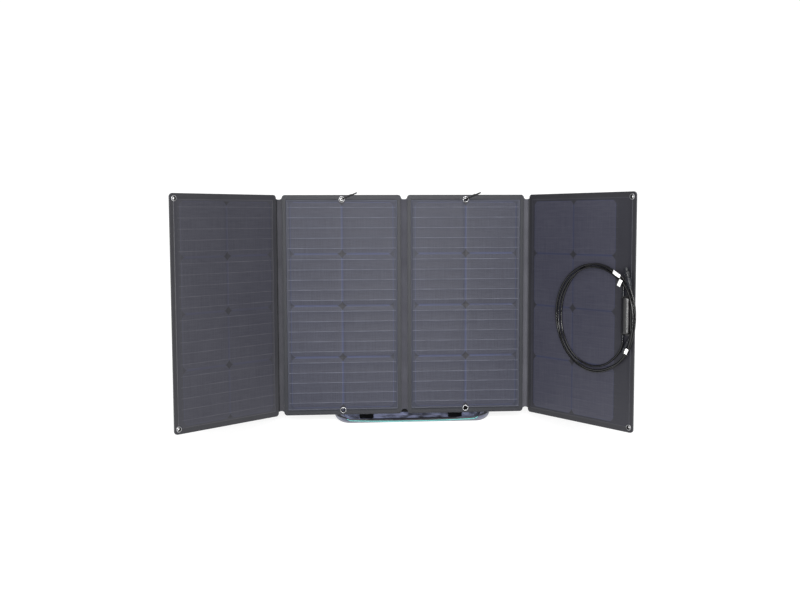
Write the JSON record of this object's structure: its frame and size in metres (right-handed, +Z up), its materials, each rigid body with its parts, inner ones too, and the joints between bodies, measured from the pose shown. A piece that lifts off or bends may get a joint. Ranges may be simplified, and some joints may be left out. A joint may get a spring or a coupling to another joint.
{
  "type": "folding solar panel kit with carry case stand",
  "caption": "Folding solar panel opened on its fabric carry case, which stands behind it as an A-frame, with wings that fold, snap hooks and coiled leads.",
  "frame": {"origin": "middle of the kit's footprint, at the ground, measured without the free leads", "axes": "+Z up, +X to the right seen from the panels' front, +Y towards the back"},
  "size_m": [1.2966, 0.77, 0.7672],
  "materials": {
    "back_fabric": "coated woven polyester, matt",
    "board": "sealed honeycomb board",
    "border": "fine leather-grain laminate",
    "front_film": "clear textured film, satin",
    "cells": "dark blue-grey silicon",
    "ribbon": "tinned",
    "eyelet": "polished nickel plate",
    "seam_fabric": "bound folding strip",
    "lining": "plain lining",
    "case_fabric": "dense woven polyester",
    "stiffener": "closed-cell foam board",
    "binding": "woven edge tape",
    "zip_tape": "teal zip tape",
    "hook_and_loop": "napped",
    "webbing": "woven webbing",
    "hook_steel": "dark plated wire",
    "box_plastic": "fine spark texture",
    "circuit_board": "lacquered",
    "gland": "moulded",
    "lead": "double-insulated sheath",
    "connector": "ribbed moulding",
    "tag": "blank white film"
  },
  "bodies": {
    "kit": {"case_front_binding": "binding", "case_front_gusset": "zip_tape", "case_front_lining": "lining", "case_front_shell": "case_fabric", "case_front_stiffener": "stiffener", "case_front_zip": "zip_tape", "case_spine": "case_fabric", "eyelets_middle": "eyelet", "gate_pins": "hook_steel", "hook_and_loop_patches": "hook_and_loop", "hook_webbing": "webbing", "middle_back_cover": "back_fabric", "middle_border": "border", "middle_cells": "cells", "middle_front_film": "front_film", "middle_ribbons": "ribbon", "seam_centre": "seam_fabric", "seam_left": "seam_fabric", "seam_right": "seam_fabric", "second_backing_board": "board", "snap_hook_left": "hook_steel", "snap_hook_right": "hook_steel", "third_backing_board": "board"},
    "left_wing": {"left_back_cover": "back_fabric", "left_backing_board": "board", "left_border": "border", "left_cells": "cells", "left_front_film": "front_film", "left_ribbons": "ribbon", "eyelets_left": "eyelet"},
    "right_wing": {"connector_negative": "connector", "connector_positive": "connector", "junction_base": "box_plastic", "junction_lid": "box_plastic", "lead_negative_end": "lead", "lead_negative_start": "lead", "lead_positive_end": "lead", "lead_positive_pass": "lead", "lead_positive_start": "lead", "right_back_cover": "back_fabric", "right_backing_board": "board", "right_border": "border", "right_cells": "cells", "right_front_film": "front_film", "right_ribbons": "ribbon", "eyelets_right": "eyelet", "diode_board": "circuit_board", "cable_glands": "gland", "cable_coil": "lead", "cable_tags": "tag"},
    "rear_leaf": {"case_rear_binding": "binding", "case_rear_gusset": "zip_tape", "case_rear_lining": "lining", "case_rear_shell": "case_fabric", "case_rear_stiffener": "stiffener", "case_rear_zip": "zip_tape", "carry_handle": "webbing"},
    "gate_left": {"snap_gate_left": "hook_steel"},
    "gate_right": {"snap_gate_right": "hook_steel"}
  },
  "joints": [
    {"name": "left_wing_fold", "type": "hinge", "parent": "kit", "child": "left_wing", "pos_m": [-0.35626, -0.049, 0.02165], "axis": [0, 0.2588, 0.9659], "range_deg": [-41, 133], "deforming": ["seam_left"]},
    {"name": "right_wing_fold", "type": "hinge", "parent": "kit", "child": "right_wing", "pos_m": [0.41174, -0.049, 0.02165], "axis": [0, -0.2588, -0.9659], "range_deg": [-56.5, 111.5], "deforming": ["seam_right"]},
    {"name": "rear_leaf_swing", "type": "hinge", "parent": "kit", "child": "rear_leaf", "pos_m": [0.05374, 0.18011, 0.64936], "axis": [1, 0, 0], "range_deg": [-29, 70]},
    {"name": "left_gate", "type": "hinge", "parent": "kit", "child": "gate_left", "pos_m": [-0.13061, 0.12061, 0.68188], "axis": [0.3987, -0.2374, -0.8858], "range_deg": [0, 11], "stiffness_Nm_per_rad": 0.05},
    {"name": "right_gate", "type": "hinge", "parent": "kit", "child": "gate_right", "pos_m": [0.25339, 0.12061, 0.68188], "axis": [0.3987, -0.2374, -0.8858], "range_deg": [0, 11], "stiffness_Nm_per_rad": 0.05}
  ]
}
